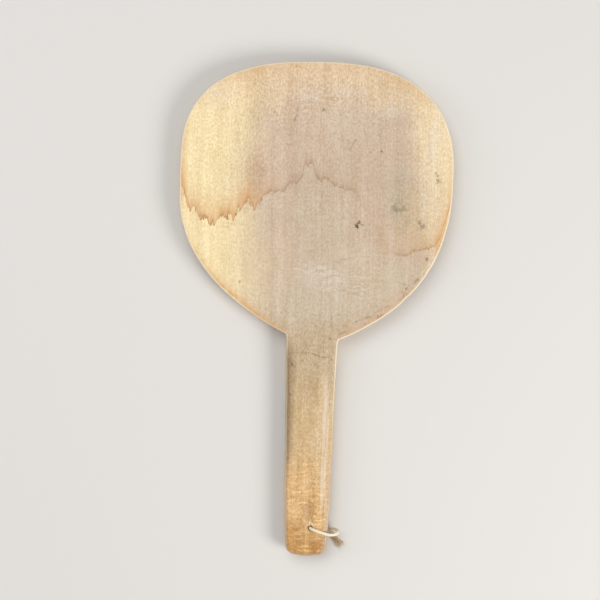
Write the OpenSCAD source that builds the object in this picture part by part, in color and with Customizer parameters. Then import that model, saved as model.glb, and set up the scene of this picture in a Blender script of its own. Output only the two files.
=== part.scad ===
// One-board wooden butter paddle with a knotted hanging string, lying face up with the handle towards -Y.
// Millimetres. The origin is under the middle of the board, on the surface that it lies on.

/* [Board] */
// Length from the blade's top edge to the end of the handle
overall_length = 305; // [270:1:360]
// Thickness of the board at the blade and the neck
board_thickness = 12.5; // [10:0.5:18]

/* [Blade] */
// Greatest width of the blade
blade_width = 169; // [140:1:200]
// Length from the neck line to the blade's top edge
blade_length = 170; // [150:1:190]
// How far the blade's highest point lies right of the middle
top_offset = 5; // [0:1:12]
// Height of the rounded shoulders, from the top edge down to the side
shoulder_depth = 68; // [50:1:75]
// Fullness of the left shoulder, 2 for an ellipse and more for a squarer curve
shoulder_fullness_left = 2.7; // [2:0.1:3.2]
// Fullness of the right shoulder
shoulder_fullness_right = 2.4; // [2:0.1:3.2]
// Length of the straight side between the left shoulder and the left cheek
side_run_left = 16; // [1:1:24]
// Length of the straight side between the right shoulder and the right cheek
side_run_right = 2; // [1:1:24]
// Fullness of the left cheek below the side, as a share of its height
cheek_fullness_left = 0.59; // [0.4:0.01:0.7]
// Fullness of the right cheek below the side, as a share of its height
cheek_fullness_right = 0.55; // [0.4:0.01:0.7]
// Slope of the cheeks where they run into the neck, in degrees
neck_slope = 23; // [10:1:35]
// Length of the straight run into the left neck corner, as a share of the cheek's width
neck_run_left = 0.22; // [0.1:0.01:0.7]
// Length of the straight run into the right neck corner, as a share of the cheek's width
neck_run_right = 0.66; // [0.1:0.01:0.7]
// Width of the bevel on the back, along the blade's rim
back_bevel_width = 30; // [10:1:40]
// How much the bevel on the back thins the rim
back_bevel_rise = 4; // [1:0.5:6]

/* [Handle] */
// Width of the handle at the neck
neck_width = 32; // [28:0.2:38]
// Width of the handle at its end
handle_end_width = 25.6; // [22:0.2:30]
// Outward swell of the handle's two edges, fullest two thirds of the way to its end
handle_swell = 0.6; // [0:0.1:1.5]
// How much higher the left neck corner was cut than the right one
neck_stagger = 3; // [0:0.5:6]
// Radius of the two corners at the handle's end
end_corner_radius = 5.5; // [3:0.5:9]
// Bow of the end between its corners
end_bow = 0.8; // [0.2:0.1:2]
// How far the underside rises from the neck to the end
handle_rise = 4; // [3:0.1:4.5]

/* [Edges] */
// Rounding of the blade's rim
blade_round = 1.5; // [0.8:0.1:2.6]
// Rounding of the edges at the neck
neck_round = 1; // [0.5:0.1:2]
// Rounding of the edges along the grip
grip_round = 3.6; // [1.5:0.1:3.8]

/* [String hole] */
// Distance from the hole's middle to the end of the handle
hole_from_end = 17.8; // [15:0.2:24]
// How far the hole lies right of the handle's middle
hole_offset = 2.3; // [-1:0.1:3]
// Room round the string in the hole
hole_clearance = 1; // [0.8:0.1:2]
// Worn-down width of the hole's two mouths
mouth_wear = 0.3; // [0.2:0.1:0.8]

/* [String] */
// Thickness of the twine
string_diameter = 1.8; // [1.2:0.1:2]
// Gap under the string where it lies beside the board
string_gap = 0.1; // [0.05:0.05:0.4]
// Spread of the frayed ends, as a share of the twine's thickness
fray_spread = 1.3; // [1:0.05:1.5]

/* [Hidden] */
wood_color = [0.78, 0.66, 0.52];
string_color = [0.86, 0.8, 0.7];
$fn = 48;

// Levels along the length, from the middle of the board
top_y = overall_length / 2;
end_y = -overall_length / 2;
neck_y = top_y - blade_length;
shoulder_y = top_y - shoulder_depth;
half_blade = blade_width / 2;
half_neck = neck_width / 2;
half_end = handle_end_width / 2;
neck_left = [-half_neck, neck_y + neck_stagger / 2];
neck_right = [half_neck, neck_y - neck_stagger / 2];

// Stations along each stretch of the outline, the same on both sides
shoulder_steps = 26;
cheek_steps = 26;
handle_steps = 14;
corner_steps = 8;
bow_steps = 3;
round_steps = 5;

// Lengths over which the rounding and the bevel change beside the neck
bevel_fade = 55;
round_fade = 40;
inner_land = 0.5;

function mix_of(a, b, share) = a + (b - a) * share;
function smooth_share(x) = let(s = min(1, max(0, x))) s * s * (3 - 2 * s);
function unit(v) = v / norm(v);
function signed_power(x, power) = sign(x) * pow(abs(x), power);

// A point on a shoulder's superellipse, from the blade's top at angle 90 to its side at angle 0
function shoulder_point(side, fullness, angle) = [
    side * (top_offset * side + (half_blade - top_offset * side) * signed_power(cos(angle), 2 / fullness)),
    shoulder_y + shoulder_depth * signed_power(sin(angle), 2 / fullness)
];

// A point on a cubic curve with four handles
function cubic_point(a, b, c, d, share) =
    pow(1 - share, 3) * a + 3 * pow(1 - share, 2) * share * b
    + 3 * (1 - share) * pow(share, 2) * c + pow(share, 3) * d;

// A cheek's cubic curve, from the end of the straight side down to the neck corner
function cheek_point(side, corner, side_run, fullness, run, share) =
    let(start = [side * half_blade, shoulder_y - side_run])
    let(drop = (start[1] - corner[1]) * fullness)
    let(reach = (half_blade - half_neck) * run)
    cubic_point(start, start - [0, drop], corner + reach * [side * cos(neck_slope), sin(neck_slope)],
        corner, share);

// The handle's end on one side: a corner arc that runs on into the bowed end
end_flat = half_end - end_corner_radius;
corner_y = end_y + end_bow + end_corner_radius;
function corner_point(side, angle) = [
    side * (end_flat + end_corner_radius * cos(angle)),
    corner_y - end_corner_radius * sin(angle)
];
function bow_point(side, share) = [
    side * end_flat * (1 - share),
    end_y + end_bow * pow(1 - share, 2)
];

// A point on a handle edge, from the neck corner to the end's corner arc
function swell_share(share) = 6.75 * pow(share, 2) * (1 - share);
function handle_point(side, corner, share) =
    mix_of(corner, corner_point(side, 0), share) + [side * handle_swell * swell_share(share), 0];

// One side of the outline, from the middle of the top to the middle of the end
function half_outline(side, fullness, side_run, cheek_full, run, corner) = concat(
    [for (i = [0 : shoulder_steps]) shoulder_point(side, fullness, 90 - 90 * i / shoulder_steps)],
    [for (i = [0 : cheek_steps]) cheek_point(side, corner, side_run, cheek_full, run, i / cheek_steps)],
    [for (i = [1 : handle_steps]) handle_point(side, corner, i / (handle_steps + 1))],
    [for (i = [0 : corner_steps]) corner_point(side, 90 * i / corner_steps)],
    [for (i = [1 : bow_steps]) bow_point(side, i / bow_steps)]
);
left_side = half_outline(-1, shoulder_fullness_left, side_run_left, cheek_fullness_left,
    neck_run_left, neck_left);
right_side = half_outline(1, shoulder_fullness_right, side_run_right, cheek_fullness_right,
    neck_run_right, neck_right);
side_count = len(left_side);

// The closed outline, down the left side and back up the right one
outline = concat(left_side, [for (i = [side_count - 2 : -1 : 1]) right_side[i]]);
outline_count = len(outline);
function outline_at(i) = outline[(i + outline_count) % outline_count];

// Outward normal at each point, square to the line through its neighbours
normals = [for (i = [0 : outline_count - 1])
    let(along = unit(outline_at(i + 1) - outline_at(i - 1))) [along[1], -along[0]]];

// Rounding, bevel and underside at a point, by its distance from the neck line
function round_at(y) = y > neck_y
    ? mix_of(neck_round, blade_round, smooth_share((y - neck_y) / round_fade))
    : mix_of(neck_round, grip_round, smooth_share((neck_y - y) / round_fade));
function bevel_at(y) = smooth_share((y - neck_y - neck_stagger) / bevel_fade);
function underside_at(y) = handle_rise * max(0, neck_y - neck_stagger - y) / (neck_y - neck_stagger - end_y);

// The rim's profile at an outline point, from the face round to the back: [inset, height]
function rim_profile(y) =
    let(r = round_at(y))
    let(rim_z = underside_at(y) + back_bevel_rise * bevel_at(y))
    concat(
        [for (j = [0 : round_steps]) let(a = 90 * j / round_steps)
            [r * (1 - sin(a)), board_thickness - r * (1 - cos(a))]],
        [for (j = [0 : round_steps]) let(a = 90 * j / round_steps)
            [r * (1 - cos(a)), rim_z + r * (1 - sin(a))]],
        [[max(r + inner_land, back_bevel_width * bevel_at(y)), underside_at(y)]]
    );
profiles = [for (p = outline) rim_profile(p[1])];
ring_count = len(profiles[0]);
rim_points = [for (k = [0 : ring_count - 1]) for (i = [0 : outline_count - 1])
    let(p = outline[i] - normals[i] * profiles[i][k][0]) [p[0], p[1], profiles[i][k][1]]];

// Faces between neighbouring rings, and a ladder of quads across the face and the back
function ring_index(k, i) = k * outline_count + (i + outline_count) % outline_count;
rim_faces = [for (k = [0 : ring_count - 2]) for (i = [0 : outline_count - 1])
    each [[ring_index(k, i), ring_index(k, i + 1), ring_index(k + 1, i + 1)],
        [ring_index(k, i), ring_index(k + 1, i + 1), ring_index(k + 1, i)]]];
function ladder(k, turn) = [for (i = [0 : side_count - 2])
    let(quad = [ring_index(k, i), ring_index(k, i + 1), ring_index(k, -i - 1), ring_index(k, -i)])
    each [for (corners = [[0, 1, 2], [0, 2, 3]])
        if (quad[corners[0]] != quad[corners[2]] && quad[corners[1]] != quad[corners[2]])
            turn ? [quad[corners[2]], quad[corners[1]], quad[corners[0]]]
                : [quad[corners[0]], quad[corners[1]], quad[corners[2]]]]];
board_faces = concat(rim_faces, ladder(0, true), ladder(ring_count - 1, false));

// The string's hole
hole_diameter = string_diameter + hole_clearance;
hole_y = end_y + hole_from_end;
cut_margin = 1;

// The string's route, in millimetres from the hole for the nominal distance to the handle's edge. The third
// number is a level: 0 lies on the surface beside the board and 1 lies on the board's face.
nominal_edge = 11.2;
string_sides = 8;
rings_per_step = 2;
route = [
    [20.8, -10.6, 0.0], [19.5, -9.8, 0.04], [18.1, -8.7, 0.09], [16.8, -7.2, 0.13], [15.7, -5.5, 0.18],
    [14.6, -4.0, 0.23], [12.9, -3.0, 0.22], [11.0, -2.1, 0.11], [9.0, -1.5, 0.02], [6.5, -1.0, 0.0],
    [3.6, -0.5, 0.0], [1.8, -0.2, 0.04], [0.5, 0.0, 0.14], [0.0, 0.0, 0.29], [0.0, 0.0, 0.54],
    [0.0, 0.0, 0.81], [0.5, -0.2, 0.96], [1.7, -0.6, 1.07], [3.4, -1.2, 1.11], [6.0, -2.1, 1.11],
    [8.5, -2.9, 1.09], [11.0, -3.6, 1.05], [13.3, -4.0, 0.98], [15.3, -4.0, 0.85], [16.9, -3.6, 0.69],
    [17.7, -2.9, 0.52], [17.4, -2.1, 0.36], [16.2, -1.6, 0.24], [14.6, -1.4, 0.13], [13.1, -1.8, 0.04],
    [12.4, -3.2, 0.0], [13.0, -4.9, 0.0], [14.2, -6.6, 0.0], [15.6, -8.4, 0.0], [17.0, -10.4, 0.0],
    [18.7, -12.6, 0.0]
];
tail_back_end = 4;
hole_middle = 14;
knot_start = 22;
knot_end = 31;

string_radius = string_diameter / 2;
lying_z = string_radius + string_gap;
hole_share = (neck_right[1] - hole_y) / (neck_right[1] - corner_y);
edge_distance = handle_point(1, neck_right, hole_share)[0] - hole_offset;
route_scale = edge_distance / nominal_edge;
route_points = [for (p = route)
    [hole_offset + p[0] * route_scale, hole_y + p[1] * route_scale, lying_z + p[2] * board_thickness]];
route_last = len(route_points) - 1;

// A smooth curve through the route's points, and the direction along it
function route_at(i) = route_points[min(route_last, max(0, i))];
function curve_at(i, s) =
    let(a = route_at(i - 1), b = route_at(i), c = route_at(i + 1), d = route_at(i + 2))
    0.5 * (2 * b + (c - a) * s + (2 * a - 5 * b + 4 * c - d) * s * s + (3 * b - a - 3 * c + d) * s * s * s);
curve = concat(
    [for (i = [0 : route_last - 1]) for (j = [0 : rings_per_step - 1]) curve_at(i, j / rings_per_step)],
    [route_points[route_last]]);
curve_last = len(curve) - 1;
directions = [for (i = [0 : curve_last]) unit(curve[min(curve_last, i + 1)] - curve[max(0, i - 1)])];

// Side vectors carried along the curve without twist
function carried(i, side) = i > curve_last ? []
    : let(v = unit(side - (side * directions[i]) * directions[i])) concat([v], carried(i + 1, v));
sides = carried(0, [0, 0, 1]);

// Thickness along the string, with its two ends frayed out
fray_rings = 5;
function fray_at(i) = mix_of(fray_spread, 1, smooth_share(min(i, curve_last - i) / fray_rings));
function string_ring(i) = [for (j = [0 : string_sides - 1])
    let(a = 360 * j / string_sides)
    curve[i] + string_radius * fray_at(i) * (cos(a) * sides[i] * min(1, 1 / fray_at(i))
        + sin(a) * cross(directions[i], sides[i]))];

// A closed tube along the string, between two points of its route
module string_stretch(first, last) {
    rings = [for (i = [first * rings_per_step : last * rings_per_step]) string_ring(i)];
    ends = len(rings) - 1;
    points = [for (ring = rings) each ring];
    walls = [for (k = [0 : ends - 1]) for (j = [0 : string_sides - 1])
        let(next = (j + 1) % string_sides, a = k * string_sides, b = a + string_sides)
        each [[a + j, b + next, a + next], [a + j, b + j, b + next]]];
    caps = [[for (j = [0 : string_sides - 1]) j],
        [for (j = [string_sides - 1 : -1 : 0]) ends * string_sides + j]];
    color(string_color) polyhedron(points, concat(walls, caps));
}

// The board, with its string hole and the hole's worn mouths
module paddle() {
    color(wood_color)
    difference() {
        polyhedron(rim_points, board_faces);
        translate([hole_offset, hole_y, -cut_margin])
            cylinder(h = board_thickness + 2 * cut_margin, d = hole_diameter);
        translate([hole_offset, hole_y, board_thickness - mouth_wear])
            cylinder(h = 2 * mouth_wear, d1 = hole_diameter, d2 = hole_diameter + 4 * mouth_wear);
        translate([hole_offset, hole_y, underside_at(hole_y) - mouth_wear])
            cylinder(h = 2 * mouth_wear, d1 = hole_diameter + 4 * mouth_wear, d2 = hole_diameter);
    }
}

// The string's stretches, from the end that comes from under the handle to the end that turns round it
module string_tail_back() {
    string_stretch(0, tail_back_end);
}
module string_back() {
    string_stretch(tail_back_end, hole_middle);
}
module string_front() {
    string_stretch(hole_middle, knot_start);
}
module string_knot() {
    string_stretch(knot_start, knot_end);
}
module string_tail_front() {
    string_stretch(knot_end, route_last);
}

paddle();
string_front();
string_knot();
string_back();
string_tail_front();
string_tail_back();
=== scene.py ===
import functools
import math

import bpy
import numpy as np
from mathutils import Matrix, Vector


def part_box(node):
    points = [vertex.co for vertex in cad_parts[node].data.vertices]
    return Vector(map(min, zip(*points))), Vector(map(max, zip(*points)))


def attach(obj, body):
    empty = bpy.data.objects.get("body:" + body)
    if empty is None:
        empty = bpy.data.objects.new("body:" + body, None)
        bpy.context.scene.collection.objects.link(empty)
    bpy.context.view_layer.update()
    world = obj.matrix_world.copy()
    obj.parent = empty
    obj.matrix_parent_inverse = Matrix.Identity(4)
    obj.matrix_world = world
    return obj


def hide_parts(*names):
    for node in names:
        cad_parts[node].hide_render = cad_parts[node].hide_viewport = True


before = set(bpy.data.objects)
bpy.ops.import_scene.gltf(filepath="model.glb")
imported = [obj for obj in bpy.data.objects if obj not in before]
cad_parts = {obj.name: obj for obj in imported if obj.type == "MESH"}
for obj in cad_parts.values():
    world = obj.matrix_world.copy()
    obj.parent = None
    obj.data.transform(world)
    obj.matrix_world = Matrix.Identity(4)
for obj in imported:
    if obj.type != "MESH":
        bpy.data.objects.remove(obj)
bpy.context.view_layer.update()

mm = 0.001
rng = np.random.default_rng(41)
boardLow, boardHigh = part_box("paddle")
boardTop = boardHigh[2] / mm


def intoScene(name, data):
    thing = bpy.data.objects.new(name, data)
    bpy.context.scene.collection.objects.link(thing)
    return thing


# The camera looks straight down on the board's face
cameraLook = {
    "middle": (-8.1, 5.3),   # point of the face under the middle of the picture, mm
    "pictureSide": 369.1,    # side of the square picture where it meets the face, mm
    "height": 1000.0,        # above the face, mm
    "roll": 1.7,             # degrees
    "sensor": 36.0,          # mm
    "sight": (0.01, 20.0),   # nearest and farthest that it sees, metres
}


def makeCamera(look):
    data = bpy.data.cameras.new("camera")
    data.sensor_width = look["sensor"]
    data.lens = look["sensor"] * look["height"] / look["pictureSide"]
    data.clip_start, data.clip_end = look["sight"]
    camera = intoScene("camera", data)
    x, y = look["middle"]
    camera.location = (x * mm, y * mm, (boardTop + look["height"]) * mm)
    camera.rotation_euler = (0.0, 0.0, math.radians(look["roll"]))
    bpy.context.scene.camera = camera


makeCamera(cameraLook)
print("camera placed")


def smoothShare(x):
    # 3 s squared - 2 s cubed, a smooth rise from 0 to 1
    s = np.clip(x, 0.0, 1.0)
    return s * s * (3.0 - 2.0 * s)


def unitRows(v):
    return v / np.linalg.norm(v, axis=-1, keepdims=True)


def gridQuads(rows, columns, closed):
    # corner numbers of the cells of a grid, whose columns may close on themselves
    r, c = np.meshgrid(np.arange(rows - 1), np.arange(columns if closed else columns - 1), indexing="ij")
    here, below = r * columns, (r + 1) * columns
    d = (c + 1) % columns
    return np.stack([here + c, below + c, below + d, here + d], -1).reshape(-1, 4)


def weld(points, quads, step):
    # points nearer than the step become one, and a cell that loses a corner becomes a triangle
    keys = np.round(points / step).astype(np.int64)
    _, first, back = np.unique(keys, axis=0, return_index=True, return_inverse=True)
    q = back.reshape(-1)[quads]
    repeat = q == np.roll(q, 1, axis=1)
    lost = repeat.sum(1)
    three = q[lost == 1][~repeat[lost == 1]].reshape(-1, 3)
    return first, q[lost == 0].tolist() + three.tolist()


def setField(mesh, name, values):
    # one number per point, which the materials read by its name
    field = mesh.attributes.new(name, "FLOAT", "POINT")
    field.data.foreach_set("value", np.asarray(values, np.float32))


def makePiece(name, points, faces, fields):
    # points in mm become a smooth-shaded mesh in metres
    mesh = bpy.data.meshes.new(name)
    mesh.from_pydata((np.asarray(points) * mm).tolist(), [], faces)
    mesh.polygons.foreach_set("use_smooth", np.ones(len(mesh.polygons), dtype=bool))
    for field, values in fields.items():
        setField(mesh, field, values)
    mesh.update()
    return intoScene(name, mesh)


# The twine's route from the tail that comes from under the handle, through the hole and round to the other
# tail: mm from the hole, and a level that is 0 lying beside the board and 1 lying on its face
twineShape = {
    "hole": (2.3, -134.7),
    "route": [
        (20.8, -10.6, 0), (19.5, -9.8, 0.04), (18.1, -8.7, 0.09), (16.8, -7.2, 0.13), (15.7, -5.5, 0.18),
        (14.6, -4, 0.23), (12.9, -3, 0.22), (11, -2.1, 0.11), (9, -1.5, 0.02), (6.5, -1, 0), (3.6, -0.5, 0),
        (1.8, -0.2, 0.04), (0.5, 0, 0.14), (0, 0, 0.29), (0, 0, 0.54), (0, 0, 0.81), (0.5, -0.2, 0.96),
        (1.7, -0.6, 1.07), (3.4, -1.2, 1.11), (6, -2.1, 1.11), (8.5, -2.9, 1.09), (11, -3.6, 1.05),
        (13.3, -4, 0.98), (15.3, -4, 0.85), (16.9, -3.6, 0.69), (17.7, -2.9, 0.52), (17.4, -2.1, 0.36),
        (16.2, -1.6, 0.24), (14.6, -1.4, 0.13), (13.1, -1.8, 0.04), (12.4, -3.2, 0), (13, -4.9, 0),
        (14.2, -6.6, 0), (15.6, -8.4, 0), (17, -10.4, 0), (18.7, -12.6, 0),
    ],
    "routeScale": 0.9904,    # the handle's edge stands this share of 11.2 mm from the hole
    "lyingHeight": 1.0,      # middle of the twine above the floor where it lies, mm
    "floorGap": 0.06,
    "diameter": 1.8,
    "strands": 3,
    "strandReach": 0.55,     # a strand's middle from the twine's middle, in radii of the twine
    "strandRadius": 0.47,    # a strand's own radius, in radii of the twine
    "uneven": 0.05,          # how much the strands swell and thin along the twine
    "lay": 5.6,              # length of one full turn of the strands, mm
    "ringStep": 0.2,
    "strandSides": 14,
    "splayLength": 4.0,      # how much of each tail has opened out, mm
    "splay": 0.9,
    "splayThins": 0.25,
    # loose fibres at each end of each strand, and stray hairs along the twine
    "fibres": {"count": 11, "length": 2.1, "radius": 0.085, "spread": 0.33, "sides": 5, "rings": 7},
    "fibreScatter": 0.12,    # how far their roots lie from the strand's middle, mm
    "hairs": {"count": 130, "length": 1.5, "radius": 0.022, "spread": 0.5, "sides": 4, "rings": 6},
    "hairRoot": 0.8,         # from the twine's middle, mm
    "hairLean": 1.4,         # along the twine for each part outwards
    "hairEnds": 10,          # rings at both ends that stay clear of hairs
    "hairBelow": 4.5,        # hairs grow where the twine runs lower than this, mm,
    "hairAbove": 0.4,        # or higher than this over the face,
    "hairBeside": 15.0,      # or farther to the right than this
    "darkTail": 14.0,      # length of each tail that is darkened, by soil and painted shade, mm
    "darkBelow": 12.0,     # lower than this the twine is darkened too, by soil and painted shade, mm
}


def twinePath(shape):
    # a smooth curve through the route's points (each stretch a cubic whose ends head along its neighbours),
    # with equal steps along it
    stepsPerStretch = 24
    route = np.array(shape["route"])
    p = np.column_stack([route[:, :2] * shape["routeScale"] + np.array(shape["hole"]),
                         shape["lyingHeight"] + route[:, 2] * boardTop])
    a, b, c, d = np.vstack([p[:1], p[:-2]]), p[:-1], p[1:], np.vstack([p[2:], p[-1:]])
    s = np.linspace(0.0, 1.0, stepsPerStretch, endpoint=False)[None, :, None]
    a, b, c, d = a[:, None], b[:, None], c[:, None], d[:, None]
    curve = 0.5 * (2 * b + (c - a) * s + (2 * a - 5 * b + 4 * c - d) * s ** 2
                   + (3 * b - a - 3 * c + d) * s ** 3)
    curve = np.vstack([curve.reshape(-1, 3), p[-1:]])
    along = np.concatenate([[0.0], np.cumsum(np.linalg.norm(np.diff(curve, axis=0), axis=1))])
    even = np.linspace(0.0, along[-1], int(round(along[-1] / shape["ringStep"])) + 1)
    return np.column_stack([np.interp(even, along, curve[:, k]) for k in range(3)]), even


def carriedFrame(path):
    # direction along the path, and two vectors square to it, carried from ring to ring without turning
    ahead = unitRows(np.gradient(path, axis=0))
    side = np.empty_like(path)
    v = np.array([0.0, 0.0, 1.0])
    for k, t in enumerate(ahead):
        v = v - v.dot(t) * t
        v = v / np.linalg.norm(v)
        side[k] = v
    return ahead, side, np.cross(ahead, side)


def sweptTubes(centres, radius, side, across, sides):
    # round tubes along several centre lines at once, each closed at both ends by drawing its last ring in
    tipShare = 0.02
    angle = np.linspace(0.0, 2 * math.pi, sides, endpoint=False)
    ring = (np.cos(angle)[:, None] * side[..., None, :] + np.sin(angle)[:, None] * across[..., None, :])
    tubes = centres[..., None, :] + radius[..., None, None] * ring
    first = centres[:, :1, None, :] + tipShare * radius[:, :1, None, None] * ring[:, :1]
    last = centres[:, -1:, None, :] + tipShare * radius[:, -1:, None, None] * ring[:, -1:]
    tubes = np.concatenate([first, tubes, last], axis=1)
    count, rings = tubes.shape[:2]
    quads = gridQuads(rings, sides, True)[None, :, ::-1] + (np.arange(count) * rings * sides)[:, None, None]
    return tubes.reshape(-1, 3), quads.reshape(-1, 4)


path, along = twinePath(twineShape)
ahead, side, across = carriedFrame(path)
twineLength = along[-1]
toTip = np.minimum(along, twineLength - along)
print(f"twine is {twineLength:.1f} mm long, {len(path)} rings")


def makeTwine(shape):
    # round strands that wind round the path, centre = path + reach * (cos turn, sin turn), and that swell and
    # thin by a product of two waves
    count, sides = shape["strands"], shape["strandSides"]
    radius = shape["diameter"] / 2
    opened = smoothShare(1.0 - toTip / shape["splayLength"])
    wobble = 1.0 + shape["uneven"] * np.sin(along * 1.9) * np.sin(along * 0.83 + 1.0)
    reach = shape["strandReach"] * radius * wobble * (1.0 + shape["splay"] * opened)
    thick = shape["strandRadius"] * radius * wobble * (1.0 - shape["splayThins"] * opened)
    start = 2 * math.pi * np.arange(count) / count
    angle = 2 * math.pi * (along / shape["lay"])[None] + start[:, None]
    outward = np.cos(angle)[..., None] * side + np.sin(angle)[..., None] * across
    centres = path + reach[None, :, None] * outward
    centres[..., 2] = np.maximum(centres[..., 2], thick + shape["floorGap"])
    each = [np.broadcast_to(values, (count, *values.shape)) for values in (thick, side, across)]
    points, quads = sweptTubes(centres, *each, sides)
    # soil and painted shade: darker where it lies low, under the board and on the floor, and most where the
    # tails come out from under the loop, lighter towards the tips
    tail = smoothShare((shape["darkTail"] - toTip) / 5.0)
    soilAndShade = tail * (0.28 + 0.22 * smoothShare((toTip - 0.5) / 5.0))
    soilAndShade += smoothShare((shape["darkBelow"] - path[:, 2]) / 9.0) * 0.38
    perRing = np.clip(np.concatenate([soilAndShade[:1], soilAndShade, soilAndShade[-1:]]), 0, 1)
    soiledAndShaded = np.tile(np.repeat(perRing, sides), count)
    return makePiece("twine", points, quads.tolist(), {"soilAndShade": soiledAndShaded}), centres


def looseFibres(name, roots, heading, kind):
    # thin curved hairs: root + heading * length * t + a sideways bend that grows with t squared
    floorGap, tipThins, mostBend, shortest, soilAndShade = 0.05, 0.6, 0.5, 0.45, 0.3
    count, rings, radius = len(roots), kind["rings"], kind["radius"]
    t = np.linspace(0.0, 1.0, rings)[:, None]
    aim = unitRows(heading + kind["spread"] * rng.normal(size=(count, 3)))
    bend = np.cross(aim, unitRows(rng.normal(size=(count, 3))))
    bend = bend * rng.uniform(-mostBend, mostBend, (count, 1))
    span = (kind["length"] * rng.uniform(shortest, 1.0, count))[:, None, None]
    centres = roots[:, None] + span * (aim[:, None] * t + bend[:, None] * t ** 2)
    centres[..., 2] = np.maximum(centres[..., 2], radius + floorGap)
    line = unitRows(np.gradient(centres, axis=1))
    upright = np.abs(line[..., 2:]) > 0.8
    helper = np.where(upright, np.array([1.0, 0.0, 0.0]), np.array([0.0, 0.0, 1.0]))
    s = unitRows(np.cross(line, helper))
    thin = np.broadcast_to(radius * (1.0 - tipThins * t[:, 0]), (count, rings))
    points, quads = sweptTubes(centres, thin, s, np.cross(line, s), kind["sides"])
    return makePiece(name, points, quads.tolist(), {"soilAndShade": np.full(len(points), soilAndShade)})


def makeEnds(shape):
    # a tuft at both ends of each strand
    count = shape["fibres"]["count"]
    roots = np.concatenate([strandLines[:, 2], strandLines[:, -3]]).repeat(count, axis=0)
    roots = roots + rng.normal(size=roots.shape) * shape["fibreScatter"]
    heading = np.repeat([-ahead[0], ahead[-1]], shape["strands"] * count, axis=0)
    return looseFibres("twineEnds", roots, heading, shape["fibres"])


def makeHairs(shape):
    # hairs at chance places: under the board, over it and beside it
    at = rng.integers(shape["hairEnds"], len(path) - shape["hairEnds"], shape["hairs"]["count"])
    x, z = path[at, 0], path[at, 2]
    over = z > boardTop + shape["hairAbove"]
    at = at[(z < shape["hairBelow"]) | over | (x > shape["hairBeside"])]
    turn = rng.uniform(0, 2 * math.pi, len(at))[:, None]
    outward = np.cos(turn) * side[at] + np.sin(turn) * across[at]
    roots, heading = path[at] + outward * shape["hairRoot"], outward + ahead[at] * shape["hairLean"]
    return looseFibres("twineHairs", roots, heading, shape["hairs"])


twine, strandLines = makeTwine(twineShape)
twineEnds = makeEnds(twineShape)
twineHairs = makeHairs(twineShape)
for piece in (twine, twineEnds, twineHairs):
    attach(piece, "string")
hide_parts("string_front", "string_knot", "string_back", "string_tail_front", "string_tail_back")
print("twine laid")

# The board, in mm: the sizes of its solid, with shoulders a trace fuller
boardShape = {
    "length": (boardHigh[1] - boardLow[1]) / mm,
    "bladeWidth": (boardHigh[0] - boardLow[0]) / mm,
    "bladeLength": 170.0,
    "topOffset": 5.0,
    "shoulderDepth": 68.0,
    "shoulderFullness": (2.74, 2.44),   # left, right
    "sideRun": (16.0, 2.0),
    "cheekFullness": (0.59, 0.55),
    "neckSlope": 23.0,                  # degrees
    "neckRun": (0.22, 0.66),
    "neckWidth": 32.0,
    "endWidth": 25.6,
    "handleSwell": 0.6,
    "neckStagger": 3.0,
    "endRadius": 5.5,
    "endBow": 0.8,
    "handleRise": 4.0,
    "bevelWidth": 30.0,
    "bevelRise": 4.0,
    "bevelFade": 55.0,
    "bladeRound": 1.5,
    "neckRound": 1.0,
    "gripRound": 3.6,
    "roundFade": 40.0,
    "outlineStep": 0.1,
    "cornerSoftness": 0.7,              # spread of the smoothing that eases the saw's sharp neck corners
    "handWobble": 0.18,                 # how far the hand-cut edge strays
    "wobbleWaves": [(9, 0.6, 0.5), (23, 2.1, 0.3), (51, 4.0, 0.2)],   # waves round the edge, start, share
    "wobbleInwards": 0.6,
    "holeRadius": 1.4,
    "mouthWear": 0.3,
    "mouthDepth": 0.9,
    "ringReach": 7.0,                   # the face's cells gather round the hole from this far above it
    "middleTop": 100.0,                 # upper end of the line from which the face's cells spread
    "middleShift": (40.0, 50.0),        # from how far under the neck it leans over to the hole, over how much
    "bladeCells": 230,                  # cells along half the blade, half the handle and half its end
    "handleCells": 84,
    "endCells": 30,
    "faceRows": 52,
    "roundRows": 8,
    "bevelRows": 14,
    "backRows": 26,
    "holeRows": 16,
    "faceSpacing": 0.9,                 # under 1 the face's rows gather towards the rim
    "leastBevel": 0.5,
    "weldStep": 1e-4,
    "planeMarks": 0.05,
    "cupping": 0.18,
    "cuppingReach": 84.0,               # where the face has sunk by the cupping, from its middle
    "dentsAbove": 5.0,
    "dentDrop": 0.8,                    # how far a knock pushes down, as a share of its depth
    "dents": [                          # x, y, reach and depth of knocks in the rim
        (-60.5, 126, 2.2, 0.35), (57, 8, 2.6, 0.4), (70.5, 26, 2, 0.3), (-81.5, 47, 2.4, 0.3),
        (20, 151.5, 3, 0.25), (-9.5, -151.5, 2, 0.35), (13.6, -92, 2.4, 0.25),
    ],
}
topY = boardShape["length"] / 2
endY = -topY
neckY = topY - boardShape["bladeLength"]
shoulderY = topY - boardShape["shoulderDepth"]


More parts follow.
